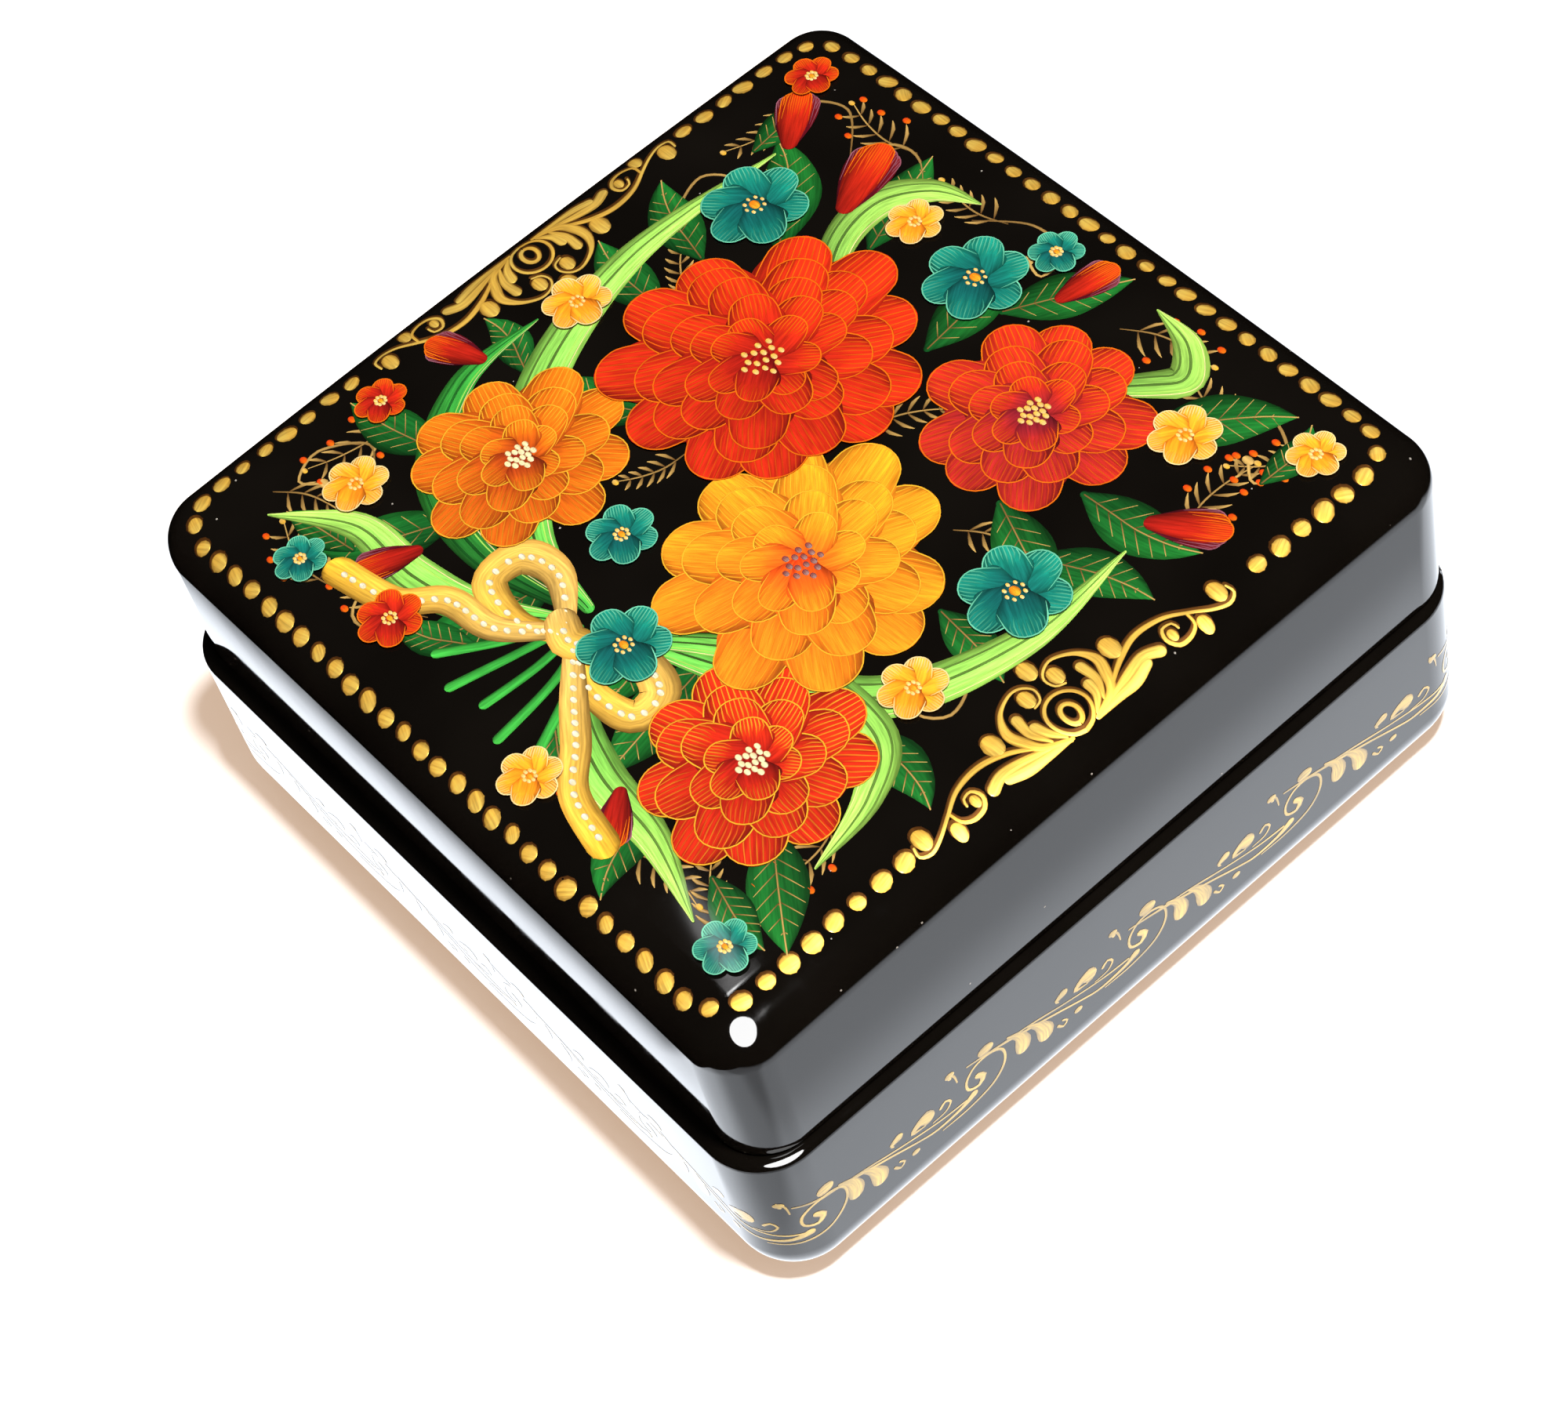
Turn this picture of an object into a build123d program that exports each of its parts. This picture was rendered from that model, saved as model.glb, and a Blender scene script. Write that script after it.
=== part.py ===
from build123d import *
import os
from math import radians, tan

# A square papier-mache box with a hinged lid, lacquered black outside and red inside.
# Base: a wound wall on a bottom board, lined by a thin collar that stands above the rim.
# Lid: a wound wall under a gently crowned top board. It closes over the collar.
# Hinge: two rolled leaves let into slots in the back walls, one wire pin, six brads.
# Millimetres. +Z is up, the front faces -Y, and the origin is under the base's centre.

# Lid
lid_width = 90.0            # outside, along X
lid_depth = 90.0            # outside, along Y
lid_edge_height = 20.2      # lid's underside to the top of its sides
lid_crown = 0.8             # rise of the top from the middle of a side to the centre
lid_setback = 0.6           # how far the lid sits behind the middle of the base
lid_corner_radius = 5.5     # upright corners, outside
lid_shoulder_radius = 5.0   # rounding between the sides and the top
lid_foot_radius = 0.4       # rounding of the lid's lower outside edge
lid_wall_thickness = 2.55
lid_board_thickness = 3.2   # at the middle of a side
lid_board_step = 1.0        # how far the top board reaches down inside the wall

# Base
base_height = 23.0
base_ledge = 0.9            # how far the base stands out past the lid at the sides
base_rim_radius = 0.9       # rounding of the rim's outside edge
base_foot_radius = 6.2      # rounding between the sides and the underside
base_board_thickness = 3.0
base_board_step = 1.0       # how far the bottom board reaches up inside the wall

# Collar
collar_thickness = 1.2
collar_rise = 3.0           # height above the base's rim
collar_edge_radius = 0.4

# Hinge
hinge_length = 30.0
knuckle_count = 5           # odd: the base has the outer ones
knuckle_gap = 0.2           # between neighbouring knuckles
pin_radius = 0.65
sheet_thickness = 0.6       # the leaf's sheet, rolled round the pin
leaf_height = 7.0           # from the hinge's axis to the leaf's far edge
axis_depth = 0.8            # from the lid's back face in to the hinge's axis
bevel_angle = 52.5          # of each wall's back edge, from level: the lid's stop
brad_radius = 0.4
brad_count = 3              # in each leaf
brad_skin = 0.15            # lid's wall left past a brad's tip
brad_head_radius = 0.8
brad_head_height = 0.3
brad_level = 4.7            # from the hinge's axis to the brads
brad_margin = 5.0           # from the leaf's end to the outer brads

# Clearances
seam_gap = 0.1              # between the base's rim and the lid
collar_gap = 0.25           # between the collar and the lid's wall
glue_gap = 0.05             # round a board's step, and round a leaf in its slot
pin_gap = 0.05              # round the pin
knuckle_room = 0.15         # round the knuckles in the walls
least_radius = 0.2          # of any upright corner

# Places that follow from the sizes
base_width = lid_width + 2 * base_ledge
base_depth = lid_depth + 2 * base_ledge
base_corner_radius = lid_corner_radius + base_ledge
lid_inner_width = lid_width - 2 * lid_wall_thickness
lid_inner_depth = lid_depth - 2 * lid_wall_thickness
lid_inner_radius = lid_corner_radius - lid_wall_thickness
collar_width = lid_inner_width - 2 * collar_gap
collar_depth = lid_inner_depth - 2 * collar_gap
collar_corner_radius = lid_inner_radius - collar_gap
lid_level = base_height + seam_gap
lid_edge_level = lid_level + lid_edge_height
lid_board_level = lid_edge_level - lid_board_thickness
crown_radius = ((lid_width / 2) ** 2 + lid_crown ** 2) / (2 * lid_crown)
crown_centre = lid_edge_level + lid_crown - crown_radius
lid_inner_back = lid_setback + lid_inner_depth / 2
base_inner_back = lid_setback + collar_depth / 2
axis_y = lid_setback + lid_depth / 2 - axis_depth
axis_z = base_height + seam_gap / 2
knuckle_radius = pin_radius + pin_gap + sheet_thickness
knuckle_length = (hinge_length - (knuckle_count - 1) * knuckle_gap) / knuckle_count
knuckle_pitch = knuckle_length + knuckle_gap
leaf_y = axis_y - knuckle_radius + sheet_thickness / 2
brad_length = lid_wall_thickness - brad_skin


def rounded_block(width, depth, radius, low, high, middle=lid_setback):
    """An upright block with rounded corners, from level low to level high, centred at y = middle."""
    outline = RectangleRounded(width, depth, max(radius, least_radius))
    return Pos(0, middle, low) * extrude(outline, high - low)


def above(solid, level):
    return split(solid, bisect_by=Plane.XY.offset(level), keep=Keep.TOP)


def below(solid, level):
    return split(solid, bisect_by=Plane.XY.offset(level), keep=Keep.BOTTOM)


def rounded_top(solid, radius):
    return fillet(solid.faces().sort_by(Axis.Z)[-1].edges(), radius)


def rounded_foot(solid, radius):
    return fillet(solid.faces().sort_by(Axis.Z)[0].edges(), radius)


def along_x(radius, length, x=0.0):
    """A cylinder on the hinge's axis, centred at x."""
    return Pos(x, axis_y, axis_z) * Rot(0, 90, 0) * Cylinder(radius, length)


def along_y(radius, start, length, x, z):
    """A cylinder that runs towards +Y from y = start."""
    return Pos(x, start, z) * Rot(-90, 0, 0) * Cylinder(
        radius, length, align=(Align.CENTER, Align.CENTER, Align.MIN))


def knuckle_places(own):
    """Centres along X of one leaf's knuckles: own is 0 for the base and 1 for the lid."""
    first = -(knuckle_count - 1) / 2 * knuckle_pitch
    return [first + n * knuckle_pitch for n in range(own, knuckle_count, 2)]


def brad_places():
    span = hinge_length - 2 * brad_margin
    return [-span / 2 + n * span / (brad_count - 1) for n in range(brad_count)]


# Below, side is 1 above the hinge's axis, in the lid, and -1 below it, in the base.

def brad_holes(start, side):
    z = axis_z + side * brad_level
    holes = Part()
    for x in brad_places():
        holes += along_y(brad_radius + glue_gap, start, brad_length + glue_gap, x, z)
    return holes


def back_bevel(side):
    """The wedge taken off a wall's back edge, from the hinge's axis outwards."""
    reach = base_depth / 2 - axis_y + knuckle_radius
    rise = side * reach * tan(radians(bevel_angle))
    profile = Plane.YZ * make_face(Polyline(
        (axis_y, axis_z), (axis_y + reach, axis_z), (axis_y + reach, axis_z + rise), close=True))
    return extrude(profile, base_width, both=True)


def leaf_plate(side, room=0.0):
    """A leaf's flat plate with room round it."""
    height = leaf_height + room
    return Pos(0, leaf_y, axis_z + side * height / 2) * Box(
        hinge_length + 2 * room, sheet_thickness + 2 * room, height)


def hinge_room(side):
    """What the hinge takes out of a wall: the leaf's slot and a trough for the knuckles."""
    trough = along_x(knuckle_radius + knuckle_room, hinge_length + 2 * knuckle_room)
    return leaf_plate(side, glue_gap) + trough


def make_leaf(own, side, wall_face):
    """A hinge leaf: its plate, its rolled knuckles, the pin's bore and the brads' holes."""
    leaf = leaf_plate(side)
    for x in knuckle_places(1 - own):
        leaf -= along_x(knuckle_radius + knuckle_gap, knuckle_length + 2 * knuckle_gap, x)
    for x in knuckle_places(own):
        leaf += along_x(knuckle_radius, knuckle_length, x)
    leaf -= along_x(pin_radius + pin_gap, hinge_length + 2 * knuckle_gap)
    return leaf - brad_holes(wall_face, side)


def make_brads(wall_face, side, headed):
    """A leaf's brads. Under the collar they are driven flush, and in the lid they keep their heads."""
    z = axis_z + side * brad_level
    brads = []
    for x in brad_places():
        brad = along_y(brad_radius, wall_face, brad_length, x, z)
        if headed:
            brad += along_y(brad_head_radius, wall_face - brad_head_height, brad_head_height, x, z)
        brads.append(brad.solid())
    return Compound(children=brads)


def board_step(width, depth, radius, low, high):
    """The step by which a board locates itself inside a wall."""
    return rounded_block(width - 2 * glue_gap, depth - 2 * glue_gap, radius - glue_gap, low, high)


def lid_block():
    """The lid's outside shape, solid."""
    top = lid_edge_level + 2 * lid_crown
    block = rounded_block(lid_width, lid_depth, lid_corner_radius, lid_level, top)
    block = block & (Pos(0, lid_setback, crown_centre) * Sphere(crown_radius))
    shoulder = min(lid_shoulder_radius, lid_corner_radius - least_radius)
    return rounded_foot(rounded_top(block, shoulder), lid_foot_radius)


def make_lid_wall(block):
    wall = below(block, lid_board_level)
    wall -= rounded_block(lid_inner_width, lid_inner_depth, lid_inner_radius, lid_level, lid_board_level)
    wall -= back_bevel(1) + hinge_room(1)
    return wall - brad_holes(lid_inner_back, 1)


def make_lid_top(block):
    step = board_step(lid_inner_width, lid_inner_depth, lid_inner_radius,
                      lid_board_level - lid_board_step, lid_board_level)
    return above(block, lid_board_level) + step


def base_block():
    """The base's outside shape, solid."""
    block = rounded_block(base_width, base_depth, base_corner_radius, 0, base_height, middle=0)
    foot = min(base_foot_radius, base_corner_radius - least_radius)
    return rounded_foot(rounded_top(block, base_rim_radius), foot)


def make_base_wall(block):
    wall = above(block, base_board_thickness)
    wall -= rounded_block(collar_width, collar_depth, collar_corner_radius,
                          base_board_thickness, base_height)
    wall -= back_bevel(-1) + hinge_room(-1)
    return wall - brad_holes(base_inner_back, -1)


def make_base_bottom(block):
    step = board_step(collar_width, collar_depth, collar_corner_radius,
                      base_board_thickness, base_board_thickness + base_board_step)
    return below(block, base_board_thickness) + step


def make_collar():
    low = base_board_thickness + base_board_step
    high = base_height + collar_rise
    inner_width = collar_width - 2 * collar_thickness
    inner_depth = collar_depth - 2 * collar_thickness
    collar = rounded_block(collar_width, collar_depth, collar_corner_radius, low, high)
    collar -= rounded_block(inner_width, inner_depth, collar_corner_radius - collar_thickness, low, high)
    return rounded_top(collar, collar_edge_radius)


def make_pieces():
    lid = lid_block()
    base = base_block()
    return {
        "base_wall": make_base_wall(base),
        "base_bottom": make_base_bottom(base),
        "base_collar": make_collar(),
        "lid_wall": make_lid_wall(lid),
        "lid_top": make_lid_top(lid),
        "hinge_base_leaf": make_leaf(0, -1, base_inner_back),
        "hinge_lid_leaf": make_leaf(1, 1, lid_inner_back),
        "hinge_pin": along_x(pin_radius, hinge_length),
        "hinge_base_brads": make_brads(base_inner_back, -1, headed=False),
        "hinge_lid_brads": make_brads(lid_inner_back, 1, headed=True),
    }


os.makedirs("parts", exist_ok=True)
for name, piece in make_pieces().items():
    export_step(piece, f"parts/{name}.step")
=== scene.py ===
import math
import random
import bmesh
import bpy
from mathutils import Matrix, Vector


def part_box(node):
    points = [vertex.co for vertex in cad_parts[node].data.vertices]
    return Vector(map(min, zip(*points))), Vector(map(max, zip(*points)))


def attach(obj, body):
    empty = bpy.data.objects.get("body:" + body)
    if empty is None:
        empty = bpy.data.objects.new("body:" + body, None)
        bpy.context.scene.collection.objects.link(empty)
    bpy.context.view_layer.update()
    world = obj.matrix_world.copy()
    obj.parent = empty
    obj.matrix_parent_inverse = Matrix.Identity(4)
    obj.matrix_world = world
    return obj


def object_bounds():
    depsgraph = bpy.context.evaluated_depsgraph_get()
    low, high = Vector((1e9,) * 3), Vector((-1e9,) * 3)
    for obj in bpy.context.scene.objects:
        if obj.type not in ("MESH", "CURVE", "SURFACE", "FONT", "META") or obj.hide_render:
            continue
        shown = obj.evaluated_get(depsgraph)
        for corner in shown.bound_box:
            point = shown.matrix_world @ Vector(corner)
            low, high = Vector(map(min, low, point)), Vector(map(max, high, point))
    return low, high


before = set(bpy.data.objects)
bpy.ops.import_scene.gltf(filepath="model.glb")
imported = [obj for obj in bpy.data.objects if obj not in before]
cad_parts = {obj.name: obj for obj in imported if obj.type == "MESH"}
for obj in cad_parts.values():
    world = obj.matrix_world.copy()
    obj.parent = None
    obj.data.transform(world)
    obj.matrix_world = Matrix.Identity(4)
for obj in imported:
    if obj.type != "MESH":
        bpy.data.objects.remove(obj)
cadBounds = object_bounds()
mm = 0.001

# Camera


def addCamera():
    view = {"azimuth": 62.9, "elevation": 53.83, "roll": -16.88, "distance": 0.3926,
            "target": (-0.0004, -0.0050, 0.0114), "lens": 89.48, "sensor": 36, "nearest": 0.01}
    azimuth, elevation, roll = (math.radians(view[key]) for key in ("azimuth", "elevation", "roll"))
    back = Vector((math.sin(azimuth) * math.cos(elevation), -math.cos(azimuth) * math.cos(elevation),
                   math.sin(elevation)))
    level = Vector((math.cos(azimuth), math.sin(azimuth), 0))
    rise = back.cross(level)
    right = level * math.cos(roll) + rise * math.sin(roll)
    up = back.cross(right)
    data = bpy.data.cameras.new("camera")
    data.lens = view["lens"]
    data.sensor_width = view["sensor"]
    data.clip_start = view["nearest"]
    camera = bpy.data.objects.new("camera", data)
    place = Vector(view["target"]) + back * view["distance"]
    camera.matrix_world = Matrix.Translation(place) @ Matrix((right, up, back)).transposed().to_4x4()
    bpy.context.scene.collection.objects.link(camera)
    bpy.context.scene.camera = camera
    print("camera set")


# Node helpers


def newMaterial(name):
    material = bpy.data.materials.new(name)
    material.use_nodes = True
    nodes = material.node_tree.nodes
    return material, nodes, nodes["Principled BSDF"]


# Fills a node's sockets: another node's output is linked, and anything else is typed in
def plug(node, inputs):
    for key, value in inputs.items():
        if isinstance(value, bpy.types.NodeSocket):
            node.id_data.links.new(value, node.inputs[key])
        else:
            node.inputs[key].default_value = value


def addNode(nodes, kind, inputs, **settings):
    node = nodes.new("ShaderNode" + kind)
    for key, value in settings.items():
        setattr(node, key, value)
    plug(node, inputs)
    return node


def objectPlace(nodes):
    return addNode(nodes, "TexCoord", {}).outputs["Object"]


def addNoise(nodes, vector, scale, detail, distortion=0.0):
    noise = addNode(nodes, "TexNoise", {"Vector": vector, "Scale": scale, "Detail": detail,
                                        "Distortion": distortion})
    return noise.outputs["Fac"]


def addRange(nodes, value, bottom, top, low=0.0, high=1.0, **settings):
    spread = addNode(nodes, "MapRange", {"Value": value, "From Min": low, "From Max": high,
                                         "To Min": bottom, "To Max": top}, **settings)
    return spread.outputs[0]


def addRamp(nodes, value, stops):
    ramp = addNode(nodes, "ValToRGB", {0: value})
    elements = ramp.color_ramp.elements
    while len(elements) < len(stops):
        elements.new(0.5)
    for element, (place, colour) in zip(elements, stops):
        element.position = place
        element.color = (*colour, 1)
    return ramp.outputs[0]


def addMath(nodes, operation, first, second):
    return addNode(nodes, "Math", {0: first, 1: second}, operation=operation).outputs[0]


def mixColours(nodes, share, first, second, **settings):
    mix = addNode(nodes, "Mix", {"Factor": share, "A": first, "B": second}, data_type="RGBA", **settings)
    return mix.outputs["Result"]


def mixShaders(nodes, share, first, second):
    return addNode(nodes, "MixShader", {0: share, 1: first, 2: second}).outputs[0]


# Stage: a pale board, an open white studio and four lamps


# Painted reflection: the board glows for mirror rays only, more or less by place, and the lacquer shows this
# glow. It is bright close to the box, and brightest before the front.
# A pair of numbers gives where a change begins and ends, in halves of the base's width.
def paintedReflectionGlow(nodes):
    glow = {"reflectionTint": (0.91, 0.96, 1.03), "right": 2.3, "farRight": 1.44, "front": 3.0, "farFront": 2.0,
            "cornerShade": 0.42, "reach": 0.034, "fade": 0.016, "frontReach": 0.0070, "frontFade": 0.0016,
            "edgeX": (0.3, 0.9), "beforeY": (-0.97, -1.05), "beforeX": (1.0, 0.35), "sideX": (1.38, 1.22),
            "frontY": (-1.16, -1.08), "cornerY": (-0.95, -1.1), "cornerX": (0.75, 1.05)}
    half = (cadBounds[1][0] - cadBounds[0][0]) / 2
    split = addNode(nodes, "SeparateXYZ", {0: objectPlace(nodes)})
    x, y = split.outputs["X"], split.outputs["Y"]

    def join(operation, first, second):
        return addMath(nodes, operation, first, second)

    def smooth(value, low, high, bottom=0.0, top=1.0):
        return addRange(nodes, value, bottom, top, low, high, interpolation_type="SMOOTHSTEP")

    def across(value, key, bottom=0.0, top=1.0):
        return smooth(value, half * glow[key][0], half * glow[key][1], bottom, top)

    far = join("MAXIMUM", join("ABSOLUTE", x, 0), y)
    fade = smooth(far, half + glow["reach"] + glow["fade"], half + glow["reach"])
    edge = join("SUBTRACT", -half - glow["frontReach"], across(x, "edgeX", 0, glow["reach"]))
    cut = smooth(join("SUBTRACT", y, edge), -glow["frontFade"], glow["frontFade"])
    before = join("MULTIPLY", across(y, "beforeY"), across(x, "beforeX"))
    side = across(x, "sideX", glow["farRight"], glow["right"])
    front = across(y, "frontY", glow["farFront"] - glow["right"], glow["front"] - glow["right"])
    # Painted shade in the reflection: dimmer at the near corner, where the front meets the right side
    corner = join("MULTIPLY", across(y, "cornerY"), across(x, "cornerX"))
    dim = join("SUBTRACT", 1, join("MULTIPLY", corner, glow["cornerShade"]))
    spread = join("ADD", side, join("MULTIPLY", before, front))
    strength = join("MULTIPLY", fade, join("MULTIPLY", join("MULTIPLY", spread, cut), dim))
    return addNode(nodes, "Emission", {"Color": (*glow["reflectionTint"], 1), "Strength": strength}).outputs[0]


# The shadow is warm light that still reaches the shade close round the box
def buildBoard():
    look = {"size": 3.0, "drop": 0.1 * mm, "colour": (0.90, 0.88, 0.87), "rough": 0.9,
            "shadow": (0.44, 0.27, 0.15)}
    bpy.ops.object.select_all(action="DESELECT")
    bpy.ops.mesh.primitive_plane_add(size=look["size"], location=(0, 0, -look["drop"]))
    board = bpy.context.object
    board.name = "board"
    material, nodes, shader = newMaterial("pale_board")
    plug(shader, {"Base Color": (*look["colour"], 1), "Roughness": look["rough"],
                  "Emission Color": (*look["shadow"], 1), "Emission Strength": 1})
    rays = addNode(nodes, "LightPath", {})
    mix = mixShaders(nodes, rays.outputs["Is Glossy Ray"], shader.outputs[0], paintedReflectionGlow(nodes))
    plug(nodes["Material Output"], {"Surface": mix})
    board.data.materials.append(material)


# White to the camera, soft on the box and nearly dark in the lacquer
def buildStudio():
    light = {"seen": 1.0, "soft": 0.31, "mirror": 0.006}
    world = bpy.data.worlds.new("studio")
    bpy.context.scene.world = world
    world.use_nodes = True
    nodes = world.node_tree.nodes
    rays = addNode(nodes, "LightPath", {})
    white = nodes["Background"]
    plug(white, {"Color": (1, 1, 1, 1), "Strength": light["seen"]})
    soft, dark = (addNode(nodes, "Background", {"Strength": light[key]}) for key in ("soft", "mirror"))
    lit = mixShaders(nodes, rays.outputs["Is Glossy Ray"], soft.outputs[0], dark.outputs[0])
    seen = mixShaders(nodes, rays.outputs["Is Camera Ray"], lit, white.outputs[0])
    plug(nodes["World Output"], {"Surface": seen})
    bpy.context.scene.view_settings.view_transform = "Standard"
    bpy.context.scene.view_settings.look = "None"


# The key lights the box, and the lacquer mirrors the other three
def addLamps():
    lamps = {"key": {"at": (0.20, 0.02, 0.76), "size": (0.08, 0.08), "watts": 8.6},
             "flash": {"at": (0.39, -0.16, 0.38), "size": (0.42, 0.60), "watts": 15.0},
             "spark": {"at": (-0.236, 0.065, 0.62), "size": (0.009, 0.013), "watts": 0.008},
             "streak": {"at": (-0.262, 0.074, 0.62), "size": (0.007, 0.058), "watts": 0.0035}}
    for name, lamp in lamps.items():
        data = bpy.data.lights.new(name, "AREA")
        data.shape = "ELLIPSE"
        data.size, data.size_y = lamp["size"]
        data.energy = lamp["watts"]
        light = bpy.data.objects.new(name, data)
        light.location = lamp["at"]
        light.rotation_euler = (-Vector(lamp["at"])).to_track_quat("-Z", "Y").to_euler()
        light.visible_glossy = name != "key"
        light.visible_diffuse = name == "key"
        bpy.context.scene.collection.objects.link(light)
    print("lamps", len(lamps))


# Lacquer and brass


# Black gloss lacquer. With inner, the two corners of a box, it turns red inside that box.
def lacquerMaterial(name, inner=None):
    look = {"black": (0.0030, 0.0023, 0.0017), "polish": 1.6, "red": (0.47, 0.018, 0.010),
            "deepRed": (0.30, 0.010, 0.008), "rough": 0.04, "scuffed": 0.10, "ripple": 0.02,
            "dust": (0.32, 0.29, 0.25), "dustScale": 400, "dustSize": 0.045, "dustShare": 0.7}
    material, nodes, shader = newMaterial(name)
    place = objectPlace(nodes)
    # Faint waves of brushed and polished lacquer, and fine rubbing marks where it has been wiped
    waves = addNoise(nodes, place, 70, 2)
    bump = addNode(nodes, "Bump", {"Height": waves, "Strength": look["ripple"], "Distance": mm})
    wiped = addNoise(nodes, place, 160, 6, 1.5)
    scuff = addRange(nodes, wiped, look["rough"], look["scuffed"], 0.55, 0.80)
    plug(shader, {"IOR": 1.5, "Normal": bump.outputs[0], "Roughness": scuff})
    if inner is None:
        bright = tuple(look["polish"] * c for c in look["black"])
        tone = addRamp(nodes, waves, [(0.35, look["black"]), (0.75, bright)])
        # A few specks of dust
        cells = addNode(nodes, "TexVoronoi", {"Vector": place, "Scale": look["dustScale"]})
        parts = addNode(nodes, "SeparateColor", {0: cells.outputs["Color"]})
        near = addMath(nodes, "LESS_THAN", cells.outputs["Distance"], look["dustSize"])
        chosen = addMath(nodes, "GREATER_THAN", parts.outputs["Red"], look["dustShare"])
        speck = addMath(nodes, "MULTIPLY", near, chosen)
        plug(shader, {"Base Color": mixColours(nodes, speck, tone, (*look["dust"], 1))})
        return material
    stretch = addNode(nodes, "Mapping", {"Vector": place, "Scale": (0.4, 2.2, 5)})
    brushed = addNoise(nodes, stretch.outputs[0], 260, 4)
    red = addRamp(nodes, brushed, [(0.3, look["deepRed"]), (0.62, look["red"])])
    split = addNode(nodes, "SeparateXYZ", {0: place})
    tests = [addMath(nodes, operation, split.outputs[axis], edge)
             for axis, low, high in zip("XYZ", *inner)
             for operation, edge in (("GREATER_THAN", low), ("LESS_THAN", high))]
    inside = tests[0]
    for test in tests[1:]:
        inside = addMath(nodes, "MULTIPLY", inside, test)
    plug(shader, {"Base Color": mixColours(nodes, inside, (*look["black"], 1), red)})
    return material


def brassMaterial(name, colour, rough):
    look = {"grain": 900, "shade": 0.72, "wear": 0.2}
    material, nodes, shader = newMaterial(name)
    grain = addNoise(nodes, objectPlace(nodes), look["grain"], 4)
    tone = addRamp(nodes, grain, [(0.3, tuple(look["shade"] * c for c in colour)), (0.65, colour)])
    plug(shader, {"Metallic": 1, "Base Color": tone,
                  "Roughness": addRange(nodes, grain, rough, rough + look["wear"])})
    return material


# Sizes: what the solids give is read from them, and the roundings are the same as theirs

lidLow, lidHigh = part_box("lid_wall")
topLow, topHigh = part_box("lid_top")
pinLow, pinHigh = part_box("hinge_pin")
collarLow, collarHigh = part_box("base_collar")
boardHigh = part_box("base_bottom")[1]
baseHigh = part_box("base_wall")[1]
lid = {"halfWidth": (lidHigh[0] - lidLow[0]) / 2, "halfDepth": (lidHigh[1] - lidLow[1]) / 2,
       "middle": (lidHigh[1] + lidLow[1]) / 2, "foot": lidLow[2], "top": topHigh[2],
       "corner": 5.5 * mm, "shoulder": 5.0 * mm, "crown": 0.8 * mm, "footRadius": 0.4 * mm}
base = {"halfWidth": baseHigh[0], "halfDepth": baseHigh[1], "middle": 0, "top": baseHigh[2],
        "corner": 6.4 * mm, "rimRadius": 0.9 * mm, "footRadius": 6.2 * mm}
coat = {"thick": 0.03 * mm, "bevelAngle": math.radians(52.5), "bevelRoom": 0.3 * mm, "rimInside": 0.7 * mm,
        "cells": 12, "cornerSteps": 16, "roundSteps": 14, "rimSteps": 8, "footSteps": 4}
axisY, axisZ = (pinLow[1] + pinHigh[1]) / 2, (pinLow[2] + pinHigh[2]) / 2
crownRadius = (lid["halfWidth"] ** 2 + lid["crown"] ** 2) / (2 * lid["crown"])
crownCentre = lid["top"] - crownRadius
sameHeight = 1e-6


# How far in from the lid's outline a point lies, and the direction inwards there
def lidInset(x, y):
    dx, dy = x, y - lid["middle"]
    qx = abs(dx) - lid["halfWidth"] + lid["corner"]
    qy = abs(dy) - lid["halfDepth"] + lid["corner"]
    signX, signY = math.copysign(1, dx), math.copysign(1, dy)
    if qx > 0 and qy > 0:
        reach = math.hypot(qx, qy)
        return lid["corner"] - reach, -signX * qx / reach, -signY * qy / reach
    if qx > qy:
        return lid["corner"] - qx, -signX, 0
    return lid["corner"] - qy, 0, -signY


# The height of the lid's top at a point, or of a surface that lies out from it
def lidHeight(x, y, out=0.0):
    inset, inX, inY = lidInset(x, y)
    shoulder = lid["shoulder"]
    if inset >= shoulder:
        dy = y - lid["middle"]
        return crownCentre + math.sqrt((crownRadius + out) ** 2 - x * x - dy * dy)
    px, py = x + inX * (shoulder - inset), y + inY * (shoulder - inset) - lid["middle"]
    centre = crownCentre + math.sqrt((crownRadius - shoulder) ** 2 - px * px - py * py)
    return centre + math.sqrt(max((shoulder + out) ** 2 - (shoulder - inset) ** 2, 0))


# Coats of lacquer, each a thin shell over its solids


# Selects the edges or faces of the block that pass the test, in edit mode
def pick(block, kind, test):
    mesh = bmesh.from_edit_mesh(block.data)
    bpy.ops.mesh.select_all(action="DESELECT")
    for item in getattr(mesh, kind):
        item.select_set(test(item))
    bmesh.update_edit_mesh(block.data)


def flatAt(item, height):
    return all(abs(v.co.z - height) < sameHeight for v in item.verts)


# A block with round upright corners, larger than its solids by the coat's thickness
def startCoat(name, shape, low, high):
    halfWidth, halfDepth, corner = (shape[key] + coat["thick"]
                                    for key in ("halfWidth", "halfDepth", "corner"))
    bpy.ops.object.select_all(action="DESELECT")
    bpy.ops.mesh.primitive_cube_add(size=1, location=(0, shape["middle"], (low + high) / 2))
    block = bpy.context.object
    block.name = name
    block.scale = (2 * halfWidth, 2 * halfDepth, high - low)
    bpy.ops.object.transform_apply(location=True, rotation=False, scale=True)
    bpy.ops.object.mode_set(mode="EDIT")
    bpy.ops.mesh.select_mode(type="EDGE")
    pick(block, "edges", lambda e: abs(e.verts[0].co.z - e.verts[1].co.z) > (high - low) / 2)
    bpy.ops.mesh.bevel(offset=corner, segments=coat["cornerSteps"], affect="EDGES")
    # Cuts both ways give the crown its points
    span = 2 * (halfWidth - corner)
    for index in range(coat["cells"] + 1):
        place = -span / 2 + span * index / coat["cells"]
        for centre, normal in (((place, 0, 0), (1, 0, 0)), ((0, shape["middle"] + place, 0), (0, 1, 0))):
            bpy.ops.mesh.select_all(action="SELECT")
            bpy.ops.mesh.bisect(plane_co=centre, plane_no=normal)
    return block


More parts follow.
